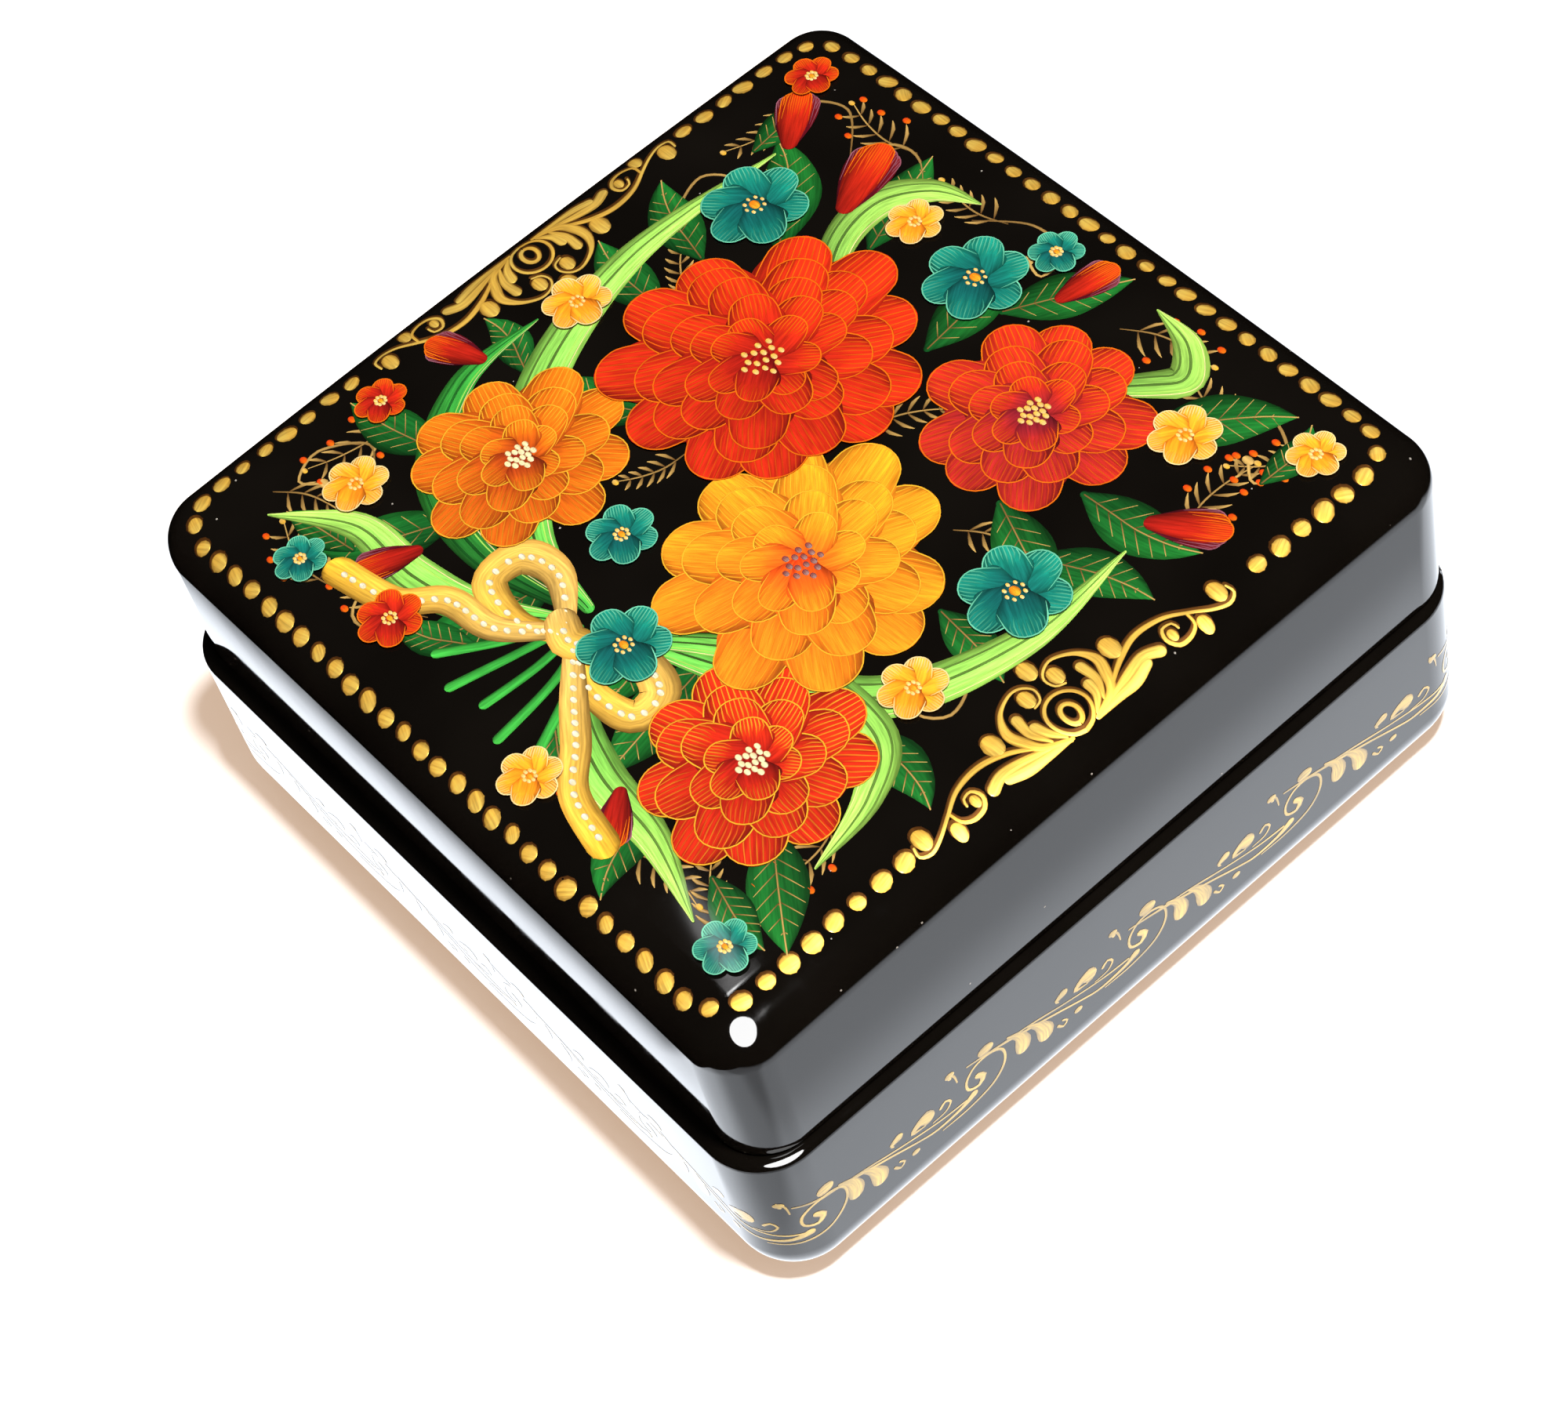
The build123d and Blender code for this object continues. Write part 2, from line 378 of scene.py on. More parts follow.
# Rounds the outline of the block's flat face at a height
def roundOutline(block, height, radius, steps):
    pick(block, "edges", lambda e: flatAt(e, height) and sum(flatAt(f, height) for f in e.link_faces) == 1)
    bpy.ops.mesh.bevel(offset=radius, segments=steps, affect="EDGES", clamp_overlap=False)


# Opens the block at a height and leaves a margin round the hole
def openAt(block, height, margin=0.0):
    bpy.ops.mesh.select_mode(type="FACE")
    pick(block, "faces", lambda f: flatAt(f, height))
    if margin:
        bpy.ops.mesh.inset(thickness=margin)
    bpy.ops.mesh.delete(type="FACE")


# Trims a coat a little short of the bevel along the back edge of its wall
def cutBevel(block, side):
    normal = (0, math.sin(coat["bevelAngle"]), -side * math.cos(coat["bevelAngle"]))
    bpy.ops.mesh.select_all(action="SELECT")
    bpy.ops.mesh.bisect(plane_co=(0, axisY - coat["bevelRoom"], axisZ), plane_no=normal,
                        clear_outer=True)


def finishCoat(block, material, body):
    bpy.ops.object.mode_set(mode="OBJECT")
    bpy.ops.object.shade_smooth()
    solid = block.modifiers.new("thickness", "SOLIDIFY")
    solid.thickness = coat["thick"]
    solid.offset = -1
    weigh = block.modifiers.new("normals", "WEIGHTED_NORMAL")
    weigh.keep_sharp = False
    for modifier in ("thickness", "normals"):
        bpy.ops.object.modifier_apply(modifier=modifier)
    block.data.materials.append(material)
    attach(block, body)
    print("coat", block.name, len(block.data.polygons))


def buildLidCoat(material):
    out = coat["thick"]
    low, high = lid["foot"] - out, lid["top"] + out
    block = startCoat("lid_lacquer", lid, low, high)
    roundOutline(block, high, lid["shoulder"] + out, coat["roundSteps"])
    roundOutline(block, low, lid["footRadius"], coat["footSteps"])
    openAt(block, low)
    cutBevel(block, 1)
    # The top and its shoulder follow the crown
    wallTop = high - lid["shoulder"] - out
    mesh = bmesh.from_edit_mesh(block.data)
    for vertex in mesh.verts:
        if vertex.co.z > wallTop - sameHeight:
            vertex.co.z = lidHeight(vertex.co.x, vertex.co.y, out)
    bmesh.update_edit_mesh(block.data)
    finishCoat(block, material, "lid")


def buildBaseCoat(material):
    out = coat["thick"]
    low, high = -out, base["top"] + out
    block = startCoat("base_lacquer", base, low, high)
    roundOutline(block, high, base["rimRadius"] + out, coat["rimSteps"])
    roundOutline(block, low, base["footRadius"] + out, coat["roundSteps"])
    openAt(block, high, coat["rimInside"])
    cutBevel(block, -1)
    finishCoat(block, material, "base")


# Brush strokes: each is a thin ribbon of paint that follows the surface. Paint is in millimetres.

brush = {"leastWidth": 0.02, "endWidth": 0.04, "endTurns": (0.5, 0.95, 1.3, 1.5), "fullDome": 0.3}


# Points (x, y, width) joined by a smooth curve, with a point about every step
def smoothPath(points, step):
    path = []
    last = len(points) - 1
    for i in range(last):
        corners = [points[max(i - 1, 0)], points[i], points[i + 1], points[min(i + 2, last)]]
        pieces = max(2, round(math.dist(points[i][:2], points[i + 1][:2]) / step))
        for k in range(pieces):
            t = k / pieces
            path.append(tuple(0.5 * (2 * b + (c - a) * t + (2 * a - 5 * b + 4 * c - d) * t * t
                                     + (3 * b - a - 3 * c + d) * t ** 3) for a, b, c, d in zip(*corners)))
    path.append(tuple(points[-1]))
    return path


# Adds the half circles that close a stroke's ends
def withRoundEnds(path):
    def cap(end, inner):
        length = max(math.dist(end[:2], inner[:2]), 1e-6)
        out = ((end[0] - inner[0]) / length, (end[1] - inner[1]) / length)
        half = max(end[2], brush["endWidth"]) / 2
        return [(end[0] + out[0] * half * math.sin(turn), end[1] + out[1] * half * math.sin(turn),
                 2 * half * math.cos(turn)) for turn in brush["endTurns"]]
    return cap(path[0], path[1])[::-1] + path + cap(path[-1], path[-2])


# Strokes of one paint, gathered into one mesh
class Paint:
    def __init__(self, name, place, step=0.5):
        self.name, self.place, self.step = name, place, step
        self.points, self.faces, self.grain, self.tint = [], [], [], []
        self.random = random.Random(name)

    # Lift and dome are its height at the edges and the middle's extra. Colours run from its start to its
    # end, cross shades it from side to side, and across is how many faces make half its width.
    def stroke(self, points, lift, dome, colours, across=2, rounded=True, cross=(1, 1), curve=1):
        path = smoothPath(points, self.step)
        if rounded:
            path = withRoundEnds(path)
        seed = self.random.uniform(0, 40)
        along = 0
        start = len(self.points)
        columns = 2 * across + 1
        for i, (x, y, width) in enumerate(path):
            if i:
                along += math.dist(path[i - 1][:2], (x, y))
            before, after = path[max(i - 1, 0)], path[min(i + 1, len(path) - 1)]
            dx, dy = after[0] - before[0], after[1] - before[1]
            length = max(math.hypot(dx, dy), 1e-9)
            sideX, sideY = dy / length, -dx / length
            half = max(width, brush["leastWidth"]) / 2
            mix = (i / (len(path) - 1)) ** curve
            colour = [a + (b - a) * mix for a, b in zip(*colours)]
            for j in range(columns):
                v = j / across - 1
                rise = lift + dome * (1 - v * v) * min(1, half / brush["fullDome"])
                self.points.append(self.place(x + sideX * half * v, y + sideY * half * v, rise))
                self.grain.append((along, half * v, seed))
                shade = cross[0] + (cross[1] - cross[0]) * (v + 1) / 2
                self.tint.append((*(min(1, c * shade) for c in colour), abs(v)))
            if i:
                row = start + i * columns
                for j in range(columns - 1):
                    self.faces.append((row + j, row + j + 1, row + j + 1 - columns, row + j - columns))

    # A thin line with plain ends
    def hair(self, points, lift, dome, colours):
        self.stroke(points, lift, dome, colours, 1, rounded=False)

    # A round dab: a very short stroke
    def dot(self, x, y, radius, lift, dome, colours, stretch=1.0, turn=0.0):
        reach = radius * 0.35 * stretch
        dx, dy = math.cos(turn) * reach, math.sin(turn) * reach
        width = 2 * radius * self.random.uniform(0.93, 1.05)
        self.stroke([(x - dx, y - dy, width * 0.94), (x, y, width), (x + dx, y + dy, width * 0.92)],
                    lift, dome, colours)

    def finish(self, material, slot, body):
        data = bpy.data.meshes.new(self.name)
        data.from_pydata(self.points, [], self.faces)
        grain = data.attributes.new("grain", "FLOAT_VECTOR", "POINT")
        grain.data.foreach_set("vector", [value for item in self.grain for value in item])
        tint = data.attributes.new("tint", "FLOAT_COLOR", "POINT")
        tint.data.foreach_set("color", [value for item in self.tint for value in item])
        data.shade_smooth()
        paint = bpy.data.objects.new(self.name, data)
        bpy.context.scene.collection.objects.link(paint)
        data.materials.append(material)
        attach(paint, body)
        print("paint", self.name, len(data.polygons))


# A point in the lid's own millimetres, on its lacquer or just above it
def onLid(x, y, rise):
    x, y = x * mm, y * mm + lid["middle"]
    return x, y, lidHeight(x, y, coat["thick"] + rise * mm)


# A point on the base's side: along runs round it from the middle of the front, anticlockwise
def onBase(along, height, rise):
    corner = base["corner"]
    flat = base["halfWidth"] - corner
    side = 2 * flat + math.pi / 2 * corner
    turns, rest = divmod(along * mm + flat, side)
    out = coat["thick"] + rise * mm
    if rest <= 2 * flat:
        x, y = rest - flat, -base["halfDepth"] - out
    else:
        turn = (rest - 2 * flat) / corner
        x = flat + (corner + out) * math.sin(turn)
        y = -flat - (corner + out) * math.cos(turn)
    for quarter in range(int(turns) % 4):
        x, y = -y, x
    return x, y, height * mm


# Brushed paint: the stroke's own colour, streaked along it and thinner at its edges
def paintMaterial(name, metal, rough, streak):
    look = {"stretch": (0.35, 4.5, 1), "edge": (0.45, 0.40, 0.36), "smoother": 0.06, "rougher": 0.08,
            "ridges": 0.15, "gloss": 0.04}
    dark, light = streak
    material, nodes, shader = newMaterial(name)
    tint = addNode(nodes, "Attribute", {}, attribute_name="tint")
    grain = addNode(nodes, "Attribute", {}, attribute_name="grain")
    stretch = addNode(nodes, "Mapping", {"Vector": grain.outputs["Vector"], "Scale": look["stretch"]})
    hairs = addNoise(nodes, stretch.outputs[0], 1, 3)
    tone = addRamp(nodes, hairs, [(0.32, (dark,) * 3), (0.66, (light,) * 3)])
    edge = addRamp(nodes, tint.outputs["Alpha"], [(0.55, (1, 1, 1)), (1.0, look["edge"])])
    colour = tint.outputs["Color"]
    for ramp in (tone, edge):
        colour = mixColours(nodes, 1, colour, ramp, blend_type="MULTIPLY")
    bump = addNode(nodes, "Bump", {"Height": hairs, "Strength": look["ridges"], "Distance": 0.1 * mm})
    wear = addRange(nodes, hairs, rough - look["smoother"], rough + look["rougher"])
    plug(shader, {"Metallic": metal, "Specular IOR Level": 0.2, "Coat Weight": 1, "Base Color": colour,
                  "Coat Roughness": look["gloss"], "Roughness": wear, "Normal": bump.outputs[0]})
    return material


# Gold ornament: the lid's row of dots with a scroll in the middle of two sides, and the base's band

# The ghost keys give a dark brown copy under each gold stroke, shifted one way: painted reflection of the
# gold in the lacquer
gold = {"tone": ((1.0, 0.54, 0.07), (1.0, 0.66, 0.13)), "lift": 0.02, "dome": 0.025,
        "paintedGhostTone": ((0.13, 0.045, 0.006), (0.16, 0.06, 0.01)), "paintedGhostLift": 0.008,
        "paintedGhostShift": (-0.22, 0.06), "paintedGhostMargin": 0.22, "thin": 0.84, "dotThin": 0.92}
lidScroll = {"rightMiddle": 0.5, "leftMiddle": 1.9, "edge": 44.8, "leftEdge": 44.0, "half": 20.6}
# One half of the scroll: millimetres along the side, in from the edge, and the stroke's width
scrollStrokes = [
    [(1.7, 2.4, 0.5), (4.1, 3.3, 1.0), (5.2, 5.0, 1.35), (5.5, 6.7, 1.15), (4.6, 8.5, 0.6), (2.8, 9.5, 0.4),
     (1.4, 9.3, 0.35), (0.7, 8.3, 0.3), (0.9, 7.2, 0.3), (1.8, 6.8, 0.3)],
    [(1.9, 2.7, 0.35), (2.9, 3.9, 1.0), (3.3, 5.2, 1.35)],
    [(3.2, 3.2, 0.35), (4.0, 5.0, 1.0), (3.9, 7.0, 1.3)],
    [(1.5, 2.3, 0.4), (4.4, 2.5, 0.9), (6.6, 2.6, 1.2), (8.4, 3.2, 1.1)],
    [(3.6, 2.8, 0.4), (6.2, 3.5, 1.0), (8.6, 3.9, 1.3), (10.2, 3.3, 1.4)],
    [(4.6, 3.6, 0.4), (7.0, 5.1, 0.7), (9.7, 5.9, 0.75), (12.5, 5.5, 0.6), (14.8, 4.2, 0.45),
     (16.6, 3.1, 0.4), (18.2, 2.6, 0.4), (19.3, 3.0, 0.35), (19.2, 4.0, 0.3)],
    [(14.6, 4.2, 0.35), (14.4, 3.0, 0.4), (13.3, 2.4, 0.45), (12.0, 2.6, 0.5), (11.3, 3.6, 0.5),
     (11.8, 4.6, 0.4), (12.8, 4.5, 0.3), (13.0, 3.8, 0.3)]]
scrollDots = [(12.1, 3.6, 0.55), (15.1, 2.5, 0.75), (18.1, 4.1, 0.95), (7.2, 6.6, 1.05), (1.8, 8.0, 0.85)]
# The middle, drawn once: an outer ring, a thick inner ring (centre, half sizes, width) and a dot below
scrollRings = [(0.0, 4.4, 2.15, 2.25, 0.45), (0.0, 4.1, 0.82, 1.15, 0.6)]
scrollDrop = (0.3, 10.2, 0.9)
borderRow = {"right": 41.25, "back": 41.25, "left": -40.9, "front": -42.5, "corner": 4.5, "pitch": 2.72,
             "radius": 0.86, "sideSteps": 120, "cornerSteps": 16}
band = {"units": 17, "phase": 0.52, "top": 23.0, "dome": 0.015,
        "tone": ((0.55, 0.34, 0.04), (0.88, 0.58, 0.08))}
# One repeat of the base's band: millimetres along and down from the rim, and the stroke's width
bandStrokes = [
    [(-6.7, 8.2, 0.25), (-2.2, 9.4, 0.4), (3.8, 11.6, 0.35), (8.0, 13.3, 0.3), (10.3, 14.0, 0.35),
     (13.5, 13.9, 0.55), (15.3, 13.3, 1.0)],
    [(-4.0, 8.9, 0.2), (1.5, 10.2, 0.3), (6.5, 11.7, 0.25), (11.0, 12.8, 0.25), (14.4, 13.2, 0.3)],
    [(-1.5, 9.2, 0.3), (-0.2, 10.4, 1.2), (0.1, 11.8, 2.0), (0.0, 12.6, 1.9)],
    [(1.1, 10.2, 0.3), (2.3, 11.4, 1.2), (2.9, 12.9, 2.1), (2.9, 13.6, 2.0)],
    [(11.0, 14.6, 0.2), (14.5, 14.7, 0.3), (17.8, 14.0, 0.35), (19.6, 12.2, 0.35), (19.7, 10.0, 0.35),
     (18.2, 8.9, 0.35), (16.2, 9.0, 0.35), (14.9, 10.3, 0.35), (14.9, 11.8, 0.35), (16.2, 12.4, 0.5),
     (16.9, 11.5, 0.9), (16.3, 10.8, 0.8)],
    [(9.0, 11.6, 0.2), (7.4, 11.2, 0.5), (8.4, 10.5, 1.1), (9.3, 10.6, 2.1)],
    [(5.4, 10.6, 0.2), (5.2, 10.2, 0.6), (6.2, 9.8, 1.1)],
    [(10.0, 12.3, 0.2), (11.7, 12.2, 0.25), (12.5, 11.3, 0.3), (11.9, 10.6, 0.35), (11.2, 11.1, 0.4)],
    [(4.6, 14.2, 0.4), (5.2, 14.9, 0.3), (5.8, 14.4, 0.3), (5.3, 13.9, 0.3)],
    [(13.8, 9.0, 0.2), (13.6, 7.6, 0.3), (12.9, 6.8, 0.4), (13.1, 7.5, 0.5)]]
bandDots = [(7.4, 14.4, 0.4), (17.8, 7.9, 0.8), (13.2, 7.2, 0.45)]


# A stroke of gold over a wider dark brown copy of it, shifted the same way on every stroke: a painted
# reflection of the gold in the lacquer
def goldStroke(paint, points, rounded=True):
    shiftX, shiftY = gold["paintedGhostShift"]
    paint.stroke([(x + shiftX, y + shiftY, gold["thin"] * width + gold["paintedGhostMargin"])
                  for x, y, width in points], gold["paintedGhostLift"], 0, gold["paintedGhostTone"], 1, rounded=rounded)
    paint.stroke([(x, y, gold["thin"] * width) for x, y, width in points], gold["lift"], gold["dome"],
                 gold["tone"], rounded=rounded)


# A dot of gold over its shifted dark brown copy, the same painted reflection
def goldDot(paint, x, y, radius, **shape):
    shiftX, shiftY = gold["paintedGhostShift"]
    paint.dot(x + shiftX, y + shiftY, radius + gold["paintedGhostMargin"] / 2, gold["paintedGhostLift"], 0,
              gold["paintedGhostTone"], **shape)
    paint.dot(x, y, radius, gold["lift"], gold["dome"], gold["tone"], **shape)


def goldRing(paint, x, y, halfX, halfY, width, place):
    turns = [math.tau * i / 12 for i in range(13)]
    goldStroke(paint, [(*place(x + halfX * math.sin(turn), y - halfY * math.cos(turn)), width)
                       for turn in turns], rounded=False)


# One scroll, in the middle of the right side (side 1) or the left (side -1)
def paintLidScroll(paint, side):
    middle = lidScroll["rightMiddle"] if side > 0 else lidScroll["leftMiddle"]
    edge = lidScroll["edge"] if side > 0 else lidScroll["leftEdge"]

    def place(along, inset):
        return side * (edge - inset), middle + along

    shake = paint.random.uniform
    for mirrored in (-1, 1):
        for stroke in scrollStrokes:
            goldStroke(paint, [(*place(mirrored * (a + shake(-0.1, 0.1)), c + shake(-0.08, 0.08)), width)
                               for a, c, width in stroke])
        for a, c, radius in scrollDots:
            goldDot(paint, *place(mirrored * a, c), gold["dotThin"] * radius)
    for ring in scrollRings:
        goldRing(paint, *ring, place)
    goldDot(paint, *place(*scrollDrop[:2]), scrollDrop[2])


# Places round the lid for the row of dots, with the direction along the row
def borderPath():
    row = borderRow
    corner, sideSteps, cornerSteps = row["corner"], row["sideSteps"], row["cornerSteps"]
    ends = [(row[x], row[y]) for x, y in (("left", "front"), ("right", "front"), ("right", "back"),
                                          ("left", "back"), ("left", "front"))]
    line = []
    for (startX, startY), (endX, endY) in zip(ends, ends[1:]):
        length = math.hypot(endX - startX, endY - startY)
        dx, dy = (endX - startX) / length, (endY - startY) / length
        for i in range(sideSteps):
            reach = corner + (length - 2 * corner) * i / sideSteps
            line.append((startX + dx * reach, startY + dy * reach))
        centreX, centreY = endX - dx * corner - dy * corner, endY - dy * corner + dx * corner
        for i in range(cornerSteps):
            turn = math.pi / 2 * i / cornerSteps
            line.append((centreX + corner * (dy * math.cos(turn) + dx * math.sin(turn)),
                         centreY + corner * (-dx * math.cos(turn) + dy * math.sin(turn))))
    line.append(line[0])
    total = sum(math.dist(a, b) for a, b in zip(line, line[1:]))
    count = round(total / row["pitch"])
    places, walked, index = [], 0.0, 0
    for a, b in zip(line, line[1:]):
        length = math.dist(a, b)
        while index < count and index * total / count <= walked + length:
            t = (index * total / count - walked) / max(length, 1e-9)
            places.append((a[0] + (b[0] - a[0]) * t, a[1] + (b[1] - a[1]) * t,
                           math.atan2(b[1] - a[1], b[0] - a[0])))
            index += 1
        walked += length
    return places


def buildLidBorder(material):
    dots = Paint("lid_gold_dots", onLid, 0.6)
    shake = dots.random.uniform
    for x, y, turn in borderPath():
        # The scrolls take the middle of two sides
        if any(abs(x - borderRow[side]) < 0.5 and abs(y - lidScroll[side + "Middle"]) < lidScroll["half"]
               for side in ("right", "left")):
            continue
        goldDot(dots, x + shake(-0.12, 0.12), y + shake(-0.12, 0.12), borderRow["radius"] * shake(0.88, 1.1),
                stretch=shake(0.2, 0.8), turn=turn + shake(-0.6, 0.6))
    dots.finish(material, "brass", "lid")
    scrolls = Paint("lid_gold_scrolls", onLid, 0.35)
    for side in (1, -1):
        paintLidScroll(scrolls, side)
    scrolls.finish(material, "brass", "lid")


def buildBaseBand(material):
    paint = Paint("base_gold_scrolls", onBase, 0.45)
    corner = base["corner"] / mm
    around = 8 * (base["halfWidth"] / mm - corner) + 2 * math.pi * corner
    pitch = around / band["units"]
    shake = paint.random.uniform
    for unit in range(band["units"]):
        start = (unit + band["phase"]) * pitch
        grow = shake(0.94, 1.04)
        drop = shake(-0.25, 0.25)
        for stroke in bandStrokes:
            shiftX, shiftY = shake(-0.2, 0.2), shake(-0.15, 0.15)
            paint.stroke([(start + a * grow + shiftX, band["top"] - c + drop + shiftY, width)
                          for a, c, width in stroke], gold["lift"], band["dome"], band["tone"], across=1)
        for a, c, radius in bandDots:
            paint.dot(start + a * grow, band["top"] - c + drop, radius, gold["lift"], band["dome"],
                      band["tone"])
    paint.finish(material, "brass", "base")


# Flower painting on the lid: a tied bunch, in the lid's own millimetres with +Y up the picture

inks = {"vermilion": (0.80, 0.030, 0.004), "deepRed": (0.22, 0.003, 0.003), "orange": (0.95, 0.20, 0.004),
        "yellow": (1.0, 0.52, 0.03), "amber": (1.0, 0.40, 0.012), "cream": (1.0, 0.80, 0.38),
        "darkGreen": (0.002, 0.035, 0.006), "green": (0.010, 0.15, 0.018), "lime": (0.48, 0.82, 0.13),
        "grass": (0.05, 0.42, 0.05), "teal": (0.008, 0.29, 0.19), "deepTeal": (0.002, 0.045, 0.055),
        "mint": (0.20, 0.72, 0.45), "maroon": (0.085, 0.004, 0.018), "plum": (0.36, 0.12, 0.17),
        "gold": (0.74, 0.46, 0.13), "umber": (0.10, 0.035, 0.008), "white": (0.85, 0.88, 0.80)}
# x, y, radius, rings, petals in the outer ring, and the inks of root, tip, hairs and heart
blooms = [(13.5, 21.5, 11.5, 4, 9, "maroon", "vermilion", "orange", "yellow"),
          (23.5, -22.5, 11.5, 4, 9, "deepRed", "vermilion", "yellow", "cream"),
          (-20, -15, 11.0, 4, 9, "deepRed", "orange", "yellow", "cream"),
          (10.5, -5, 14.5, 4, 10, "vermilion", "amber", "yellow", "deepRed"),
          (-11, 8.5, 16.0, 5, 11, "deepRed", "vermilion", "orange", "yellow")]
daisyInks = {"blue": ("deepTeal", "teal", "mint"), "gold": ("orange", "yellow", "cream"),
             "red": ("deepRed", "vermilion", "orange")}
# x, y, radius and inks
daisies = [(-27, 21, 5.6, "blue"), (27.5, 6, 5.4, "blue"), (-3, 29, 5.4, "blue"), (5, -22.5, 4.6, "blue"),
           (-5, -14.5, 3.6, "blue"), (-31, 1, 3.6, "gold"), (26, 29, 3.6, "gold"), (-30, -28, 3.4, "gold"),
           (28.5, -7.5, 3.4, "gold"), (-13, 30, 3.0, "gold"), (-14.5, -35.6, 3.4, "red"),
           (9.5, -37.6, 3.2, "gold"), (-27, -37.2, 2.8, "blue"), (36.2, -36.8, 2.9, "blue"),
           (-36.3, 36.6, 2.8, "red"), (36.4, 35.6, 2.8, "gold"), (-36.4, -20, 2.8, "red"),
           (0.5, 36.5, 2.8, "blue")]
# x, y, the direction in degrees and the length
tulips = [(-20, 27, 112, 9.0), (-31, 29, 130, 7.5), (5, 33, 80, 6.5), (31, 20, 35, 7.5),
          (-33, -10, 200, 6.5), (17, -33, -50, 6.0), (-19, -29, 245, 6.5)]
# Five places along the leaf, its width and its inks
bladeLeaves = [
    [(-1, -22), (-12, -20), (-25, -9), (-31.5, 8), (-31, 27), 5.0, "grass", "lime"],
    [(3, -22), (15, -17), (27, -10), (32, 3), (31.5, 16), 4.8, "grass", "lime"],
    [(-2, -23), (-14, -25), (-25, -22), (-32, -13), (-32.5, -3), 4.0, "darkGreen", "grass"],
    [(3, -23), (16, -14), (29, -13), (34, -18), (36, -26), 4.2, "grass", "lime"],
    [(-8, 14), (-16, 22), (-18, 29), (-15, 34), (-10, 36), 4.4, "green", "lime"],
    [(12, 24), (19, 31), (21, 34), (18, 37), (13, 38), 4.0, "green", "lime"],
    [(-1, -24), (-9, -29), (-17, -31), (-26, -31), (-34, -36), 4.6, "grass", "lime"],
    [(2, -24), (7, -30), (14, -33), (23, -34), (32, -37), 4.6, "grass", "lime"]]
# x, y, the direction in degrees and the length
broadLeaves = [(-24, 6, 172, 12), (-21, 19, 140, 15), (-14, 25, 110, 13), (2, 28, 60, 13), (23, 27, 50, 14),
               (24, 18, 12, 13), (24, 0, -8, 10), (28, -14, -5, 11), (30, -26, -35, 13), (12, -18, -80, 15),
               (-6, -22, -110, 15), (-19, -24, -125, 14), (-27, -20, -170, 12), (-28, -8, 170, 9),
               (20, -30, -70, 12), (0, 20, 92, 13), (-26, 13, 160, 12), (4, -16, -70, 13), (26, 10, 20, 12),
               (19, 12, -20, 13), (-14, -3, 200, 14), (-6, -32, 200, 9), (6, -32, -25, 9),
               (-24, -33, 190, 9), (30, -33, -10, 9), (35, 30, 100, 8), (-33, 26, 100, 9)]
# The foot of each stem, and its middle
stems = [(-8, -35, -4, -29.5), (-4, -36.5, -2, -29.5), (0, -35.5, 0.5, -29.5), (4, -37, 3, -29.5),
         (8, -35.5, 5, -29.5)]
ribbons = [
    [(-0.5, -25, 1.6), (-6, -21.5, 3.2), (-10.5, -22.5, 4.2), (-10.5, -26.5, 3.6), (-5, -27.5, 2.6),
     (0, -25.4, 1.8)],
    [(1.5, -25, 1.6), (7, -22.5, 3.2), (11.5, -23.5, 4.0), (11.5, -27, 3.6), (6, -27.7, 2.6),
     (1, -25.4, 1.8)],
    [(-1, -25.5, 1.8), (-6, -29.5, 2.8), (-12, -30.5, 3.2), (-16, -34, 3.2), (-23, -35.5, 3.4)],
    [(1, -25.5, 1.8), (6, -29.5, 2.8), (10, -32.5, 3.0), (14, -36, 3.0), (20, -37.5, 3.2)],
    [(-1.6, -24.8, 3.4), (0.4, -25.6, 3.8), (2.2, -24.9, 3.4)]]
tendrils = [[(-24, 31), (-30, 36), (-35, 33), (-34, 29), (-31.5, 30.5)],
            [(25, 32), (30, 36), (35.5, 33), (34.5, 29.5), (32.2, 31)],
            [(-29, -27), (-33, -24), (-36.5, -28), (-35, -31.5), (-32.8, -30)],
            [(30, -27), (34, -27.5), (37, -31.5), (35.5, -34.5), (33.2, -33)],
            [(27, -1), (31.5, -3.5), (33, -7), (30.8, -9), (29.5, -6.8)],
            [(30, 20), (34.5, 18.5), (36, 23), (34, 25), (32.8, 22.6)],
            [(-13, 31), (-19, 36), (-23, 35.5), (-22.5, 32), (-20, 32.5)],
            [(-9, 34), (-4, 37.5), (1, 37), (1.5, 33.5), (-1, 34)],
            [(-30, 13), (-33, 16), (-34.5, 20), (-32, 22), (-31.2, 19.6)],
            [(-9, -32), (-12, -36), (-17, -38), (-19, -36), (-16.6, -35)]]
# x, y, the direction in degrees, the length, and whether it has berries
sprigs = [(-12, -33, 190, 11, True), (9, -34, -8, 10, True), (22, -36.5, 5, 9, False),
          (33.5, -21, -85, 10, True), (34, 21, 95, 10, True), (29, 33, 165, 10, False),
          (12, 34, 15, 10, True), (-6, 36, 182, 9, False), (-20, 36.5, 178, 10, True),
          (-34, 33, 262, 9, False), (-34, -19, 262, 11, True), (-36, -34, 20, 9, False),
          (-22, -37, 172, 10, True), (36, -36, 150, 9, False), (36, 36, 235, 8, True),
          (-8, -4, 250, 7, False), (18, 7, 20, 8, False), (-22, 9, 150, 8, False), (3, 9, 60, 9, False)]
# How far each layer of paint lies above the last
layer = {"first": 0.02, "leaf": 0.0012, "blade": 0.0014, "stem": 0.0008, "tulips": 0.009, "ribbon": 0.0022,
         "petal": 0.0016, "tulipPetal": 0.0015, "daisyPetal": 0.0014, "daisyHeart": 0.01, "bloom": 0.002,
         "hair": 0.0009, "line": 0.001, "sprigLeaf": 0.0004}
petal = {"cap": 0.42, "hairs": 9, "hairWidth": 0.17, "rimWidth": 0.15, "lightFrom": 120}


def ink(*names):
    return [inks[name] for name in names]


